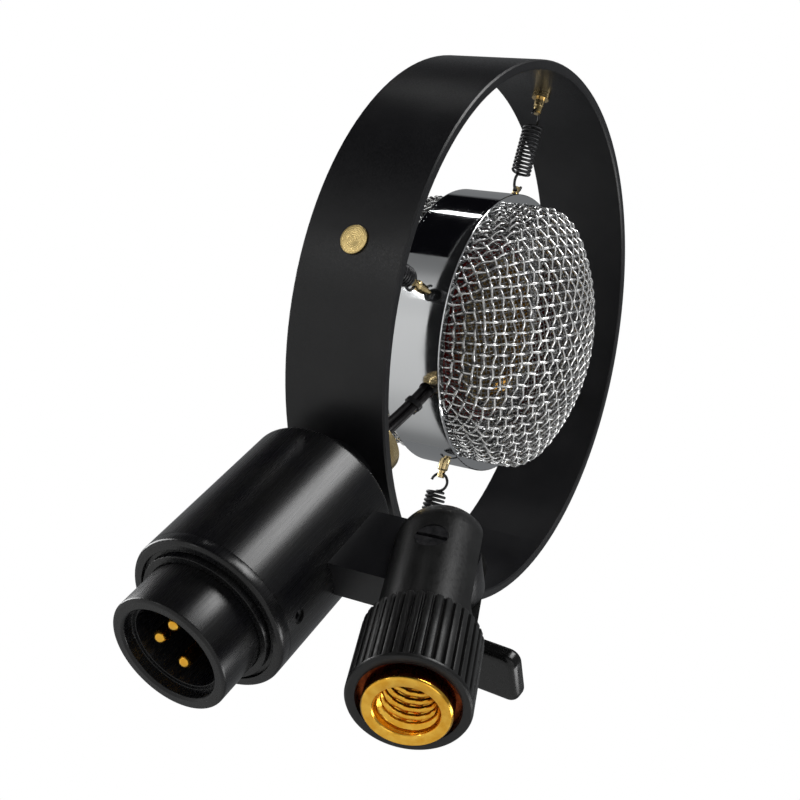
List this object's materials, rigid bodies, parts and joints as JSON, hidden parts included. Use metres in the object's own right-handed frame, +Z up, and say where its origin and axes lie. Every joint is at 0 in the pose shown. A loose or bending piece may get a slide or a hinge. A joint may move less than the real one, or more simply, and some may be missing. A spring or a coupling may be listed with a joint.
{
  "type": "condenser microphone",
  "caption": "Condenser microphone: a round mesh capsule head sprung inside a flat ring, on a barrel with a three-pin socket and a threaded swivel stand mount.",
  "frame": {"origin": "centre of the stand thread's mouth, in the face of the gold adapter", "axes": "+Z up through the ring with the microphone upright, the ring and capsule's front facing -Y, +X to the right; the stand thread leaves the row tilted 20 degrees forward of -Z"},
  "size_m": [0.115, 0.0734, 0.167],
  "materials": {
    "black_anodised": "fine-grained satin black anodising",
    "black_barrel": "semi-gloss black",
    "black_swivel": "satin black",
    "black_lever": "semi-gloss moulded black",
    "black_plastic": "satin moulded",
    "black_rubber": "satin rubber sheath",
    "dark_steel": "blackened steel",
    "spring_wire": "blackened spring wire",
    "brass_turned": "turned brass, concentric tool marks",
    "gold_plate": "bright gold plating",
    "gold_film": "gold-sputtered film",
    "mirror_chrome": "mirror polished",
    "grille_wire": "bright woven wire",
    "fine_mesh_wire": "fine woven wire",
    "red_plastic": "moulded, satin",
    "green_board": "solder-masked laminate",
    "can_sleeve": "sleeved can",
    "film_case": "dipped film capacitor"
  },
  "bodies": {
    "stand_side": {"knurled_collar": "black_swivel", "thread_adapter": "gold_plate"},
    "swivel": {"clevis": "black_swivel", "pivot_screw": "dark_steel", "lever_washer": "dark_steel", "collar_washer": "dark_steel", "collar_screw": "dark_steel"},
    "microphone_body": {"ring_hoop": "black_anodised", "anchor_screws": "brass_turned", "barrel_housing": "black_barrel", "barrel_end_cap": "black_barrel", "connector_set_screw": "dark_steel", "connector_shell": "black_barrel", "connector_insert": "black_plastic", "connector_pins": "gold_plate", "neck_spacer": "black_anodised", "hollow_gland_screw": "brass_turned", "gland_nut": "brass_turned", "signal_lead": "black_rubber", "cable_tie": "black_plastic", "board_posts": "dark_steel", "circuit_board": "green_board", "filter_capacitors": "can_sleeve", "coupling_capacitor": "film_case", "transistors": "black_plastic", "pivot_tongue": "black_anodised", "tongue_screws": "dark_steel", "ring_post_upper_right": "brass_turned", "spring_upper_right": "spring_wire", "ring_post_upper_left": "brass_turned", "spring_upper_left": "spring_wire", "ring_post_lower_left": "brass_turned", "spring_lower_left": "spring_wire", "ring_post_lower_right": "brass_turned", "spring_lower_right": "spring_wire"},
    "lever": {"clamp_lever": "black_lever"},
    "capsule_head": {"capsule_band": "mirror_chrome", "front_rim": "mirror_chrome", "rear_rim": "mirror_chrome", "front_grille": "grille_wire", "rear_grille": "grille_wire", "front_fine_mesh": "fine_mesh_wire", "rear_fine_mesh": "fine_mesh_wire", "capsule_backplate": "brass_turned", "front_diaphragm": "gold_film", "rear_diaphragm": "gold_film", "front_clamp_ring": "brass_turned", "rear_clamp_ring": "brass_turned", "clamp_ring_screws": "dark_steel", "capsule_saddle": "red_plastic", "capsule_post_upper_right": "brass_turned", "capsule_post_upper_left": "brass_turned", "capsule_post_lower_left": "brass_turned", "capsule_post_lower_right": "brass_turned"}
  },
  "joints": [
    {"name": "collar_spin", "type": "hinge", "parent": "stand_side", "child": "swivel", "pos_m": [0, 0, 0], "axis": [0, 0.3478, 0.9376], "continuous": true},
    {"name": "head_tilt", "type": "hinge", "parent": "swivel", "child": "microphone_body", "pos_m": [0, 0.01095, 0.02953], "axis": [1, 0, 0], "range_deg": [-28, 130]},
    {"name": "lever_turn", "type": "hinge", "parent": "swivel", "child": "lever", "pos_m": [0, 0.01095, 0.02953], "axis": [1, 0, 0], "range_deg": [-60, 60]},
    {"name": "capsule_float", "type": "slide", "parent": "microphone_body", "child": "capsule_head", "axis": [0, 1, 0], "range_m": [-0.004, 0.004], "stiffness_N_per_m": 250, "deforming": ["spring_upper_right", "spring_upper_left", "spring_lower_left", "spring_lower_right", "signal_lead"]}
  ]
}
